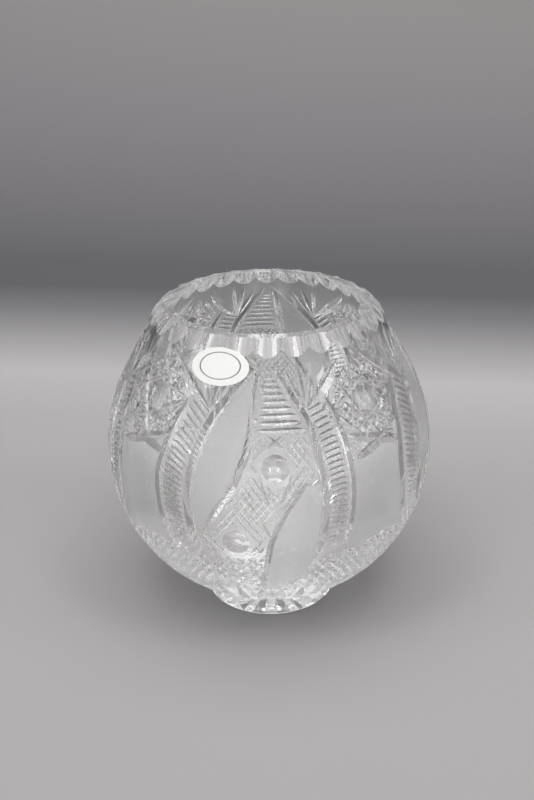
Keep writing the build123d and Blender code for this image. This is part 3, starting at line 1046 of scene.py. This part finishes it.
# Colours of the paper along the sweep, by the distance back from the vase plus the height, in metres: as the
# camera sees it, pale paper with painted light and shade, lighter just before the turn and darker where it
# turns up, and as the glass shows it
SWEEP_TONE_AND_PAINTED_SHADE = [
    (-0.25, "a19f9f"), (-0.05, "a7a5a5"), (0.10, "aaa8a8"), (0.20, "b2b0b0"),
    (0.28, "c0bebe"), (0.35, "a4a2a3"), (0.41, "828184"), (0.47, "68686b"),
    (0.54, "6b6b6f"), (0.68, "7d7b7f"), (0.88, "8f8d8f"), (1.05, "9d9a9a"),
]
# Painted light and shade that the paper emits to glass rays: the table lit and unshadowed, the backdrop
# painted darker
PAINTED_LIGHT_AND_SHADE_IN_GLASS = [
    (-0.25, "aeacac"), (-0.08, "b0aeae"), (0.04, "b0aeae"), (0.14, "c2c0c0"), (0.28, "cecccc"),
    (0.36, "acaaab"), (0.45, "7c7c7e"), (0.60, "565658"), (0.85, "565658"), (1.05, "8a8888"),
]

# Slant of the colours across the sweep, and the inner and outer radius, in metres, of the painted pool of
# light under the foot
SWEEP_SLANT = 0.13
PAINTED_POOL_EDGES = (0.026, 0.036)


def sweep_paper():
    """Seamless background paper, pale on the table, with painted shade that makes it grey behind it.

    Glass sees painted light in its place: the paper glows as it is lit there, with a painted pool of light
    under the foot for the light that the bowl gathers.
    """
    material, tree = new_material("seamless_background_paper")
    place = add_node(tree, "ShaderNodeTexCoord").outputs["Object"]
    slanted = (SWEEP_SLANT, 1.0, 1.0)
    along = add_node(tree, "ShaderNodeVectorMath", {0: place, 1: slanted}, operation="DOT_PRODUCT")
    first, last = SWEEP_TONE_AND_PAINTED_SHADE[0][0], SWEEP_TONE_AND_PAINTED_SHADE[-1][0]
    share = mapped(tree, along.outputs["Value"], first, last)
    ramps = []
    for shades in (SWEEP_TONE_AND_PAINTED_SHADE, PAINTED_LIGHT_AND_SHADE_IN_GLASS):
        ramp = add_node(tree, "ShaderNodeValToRGB", {0: share})
        stops = ramp.color_ramp.elements
        for distance, _ in shades[1:-1]:
            stops.new((distance - first) / (last - first))
        for stop, (_, shade) in zip(stops, shades):
            stop.color = linear(shade)
        ramps.append(ramp.outputs[0])
    # Painted light and shade in the paper's base colour: lighter just before the turn, darkest where the
    # sweep turns up
    paper = add_node(tree, "ShaderNodeBsdfPrincipled", {"Base Color": ramps[0], "Roughness": 0.9})
    level = add_node(tree, "ShaderNodeVectorMath", {0: place, 1: (1.0, 1.0, 0.0)}, operation="MULTIPLY")
    radius = add_node(tree, "ShaderNodeVectorMath", {0: level.outputs[0]}, operation="LENGTH")
    inner, outer = PAINTED_POOL_EDGES
    # Painted pool of light under the foot: white inside the inner radius, seen only by glass rays
    painted_light_pool = mapped(tree, radius.outputs["Value"], outer, inner)
    painted_light_colour = add_node(tree, "ShaderNodeMix", {
        0: painted_light_pool, 6: ramps[1], 7: linear("ffffff"),
    }, data_type="RGBA")
    # Painted light: for rays through or off glass the paper glows with these painted colours in place of its
    # lit surface
    tent = add_node(tree, "ShaderNodeEmission", {"Color": painted_light_colour.outputs[2], "Strength": 1.0})
    mixed = add_node(tree, "ShaderNodeMixShader", {
        0: seen_in_glass(tree), 1: paper.outputs[0], 2: tent.outputs[0],
    })
    add_node(tree, "ShaderNodeOutputMaterial", {"Surface": mixed.outputs[0]})
    return material


def background_sweep():
    """The table and the backdrop, one sheet of paper that turns up behind the vase."""
    profile = [(TABLE_FRONT, -FLOOR_GAP), (TABLE_BACK, -FLOOR_GAP)]
    for step in range(1, SWEEP_STEPS + 1):
        turn = math.pi / 2 * step / SWEEP_STEPS
        rise = SWEEP_RADIUS * (1 - math.cos(turn))
        profile.append((TABLE_BACK + SWEEP_RADIUS * math.sin(turn), rise - FLOOR_GAP))
    profile.append((TABLE_BACK + SWEEP_RADIUS, BACKDROP_TOP))
    vertices = [(side, y, z) for y, z in profile for side in (-SWEEP_HALF_WIDTH, SWEEP_HALF_WIDTH)]
    faces = [(2 * row, 2 * row + 1, 2 * row + 3, 2 * row + 2) for row in range(len(profile) - 1)]
    mesh = bpy.data.meshes.new("background_sweep")
    mesh.from_pydata(vertices, [], faces)
    mesh.materials.append(sweep_paper())
    mesh.shade_smooth()
    new_object("background_sweep", mesh)


# Soft lamps: place in metres, height on the axis that the lamp faces, size in metres and power in watts
LAMPS = {
    "top_softbox": ((0.0, 0.0, 1.3), 0.08, (1.2, 1.0), 6.4),
    "front_softbox": ((0.0, -0.7, 1.0), 0.1, (0.6, 0.5), 2.6),
    "front_left_strip": ((-0.36, -0.45, 1.02), 0.1, (0.2, 0.5), 1.8),
    "front_right_strip": ((0.36, -0.45, 1.02), 0.1, (0.2, 0.5), 1.8),
    "left_softbox": ((-1.1, -0.4, 0.6), 0.08, (0.2, 0.8), 1.5),
    "right_softbox": ((1.1, -0.4, 0.6), 0.08, (0.2, 0.8), 1.5),
}

# Soft light of the room, and the white tent that the glass shows in its place: strengths in front and
# behind, and lower down, where the tent darkens between two slopes of the view
ROOM_LIGHT = 0.45
TENT_FRONT, TENT_BACK = 0.9, 0.3
SKIRT_LOW, SKIRT_HIGH = 0.10, 0.45
SKIRT_SHARE = 0.25


def softbox(name, place, aim_height, size, watts):
    """Rectangular soft light that faces a point on the vase's axis."""
    data = bpy.data.lights.new(name, "AREA")
    data.shape = "RECTANGLE"
    data.size, data.size_y = size
    data.energy = watts
    lamp = bpy.data.objects.new(name, data)
    bpy.context.scene.collection.objects.link(lamp)
    direction = Vector((0.0, 0.0, aim_height)) - Vector(place)
    facing = direction.to_track_quat("-Z", "Y").to_matrix().to_4x4()
    lamp.matrix_world = Matrix.Translation(place) @ facing


def studio_world():
    """Soft even light; glass shows it as a white tent, open and darker low down."""
    world = bpy.data.worlds.new("studio_world")
    world.use_nodes = True
    tree = world.node_tree
    tree.nodes.clear()
    direction = add_node(tree, "ShaderNodeTexCoord").outputs["Generated"]
    slopes = add_node(tree, "ShaderNodeSeparateXYZ", {0: direction}).outputs
    tent = mapped(tree, slopes["Y"], -1.0, 1.0, TENT_FRONT, TENT_BACK)
    skirt = mapped(tree, slopes["Z"], SKIRT_LOW, SKIRT_HIGH, SKIRT_SHARE, 1.0)
    tent = calculated(tree, "MULTIPLY", tent, skirt)
    strength = mapped(tree, seen_in_glass(tree), 0.0, 1.0, ROOM_LIGHT, tent)
    shade = add_node(tree, "ShaderNodeBackground", {"Color": linear("f4f4f4"), "Strength": strength})
    add_node(tree, "ShaderNodeOutputWorld", {"Surface": shade.outputs[0]})
    bpy.context.scene.world = world


photo_camera()
background_sweep()
studio_world()
for lamp_name, lamp in LAMPS.items():
    softbox(lamp_name, *lamp)

# Light passes many walls of glass before it leaves the vase
cycles = bpy.context.scene.cycles
cycles.max_bounces = 20
cycles.glossy_bounces = 16
cycles.transmission_bounces = 20
bpy.context.scene.view_settings.view_transform = "Standard"
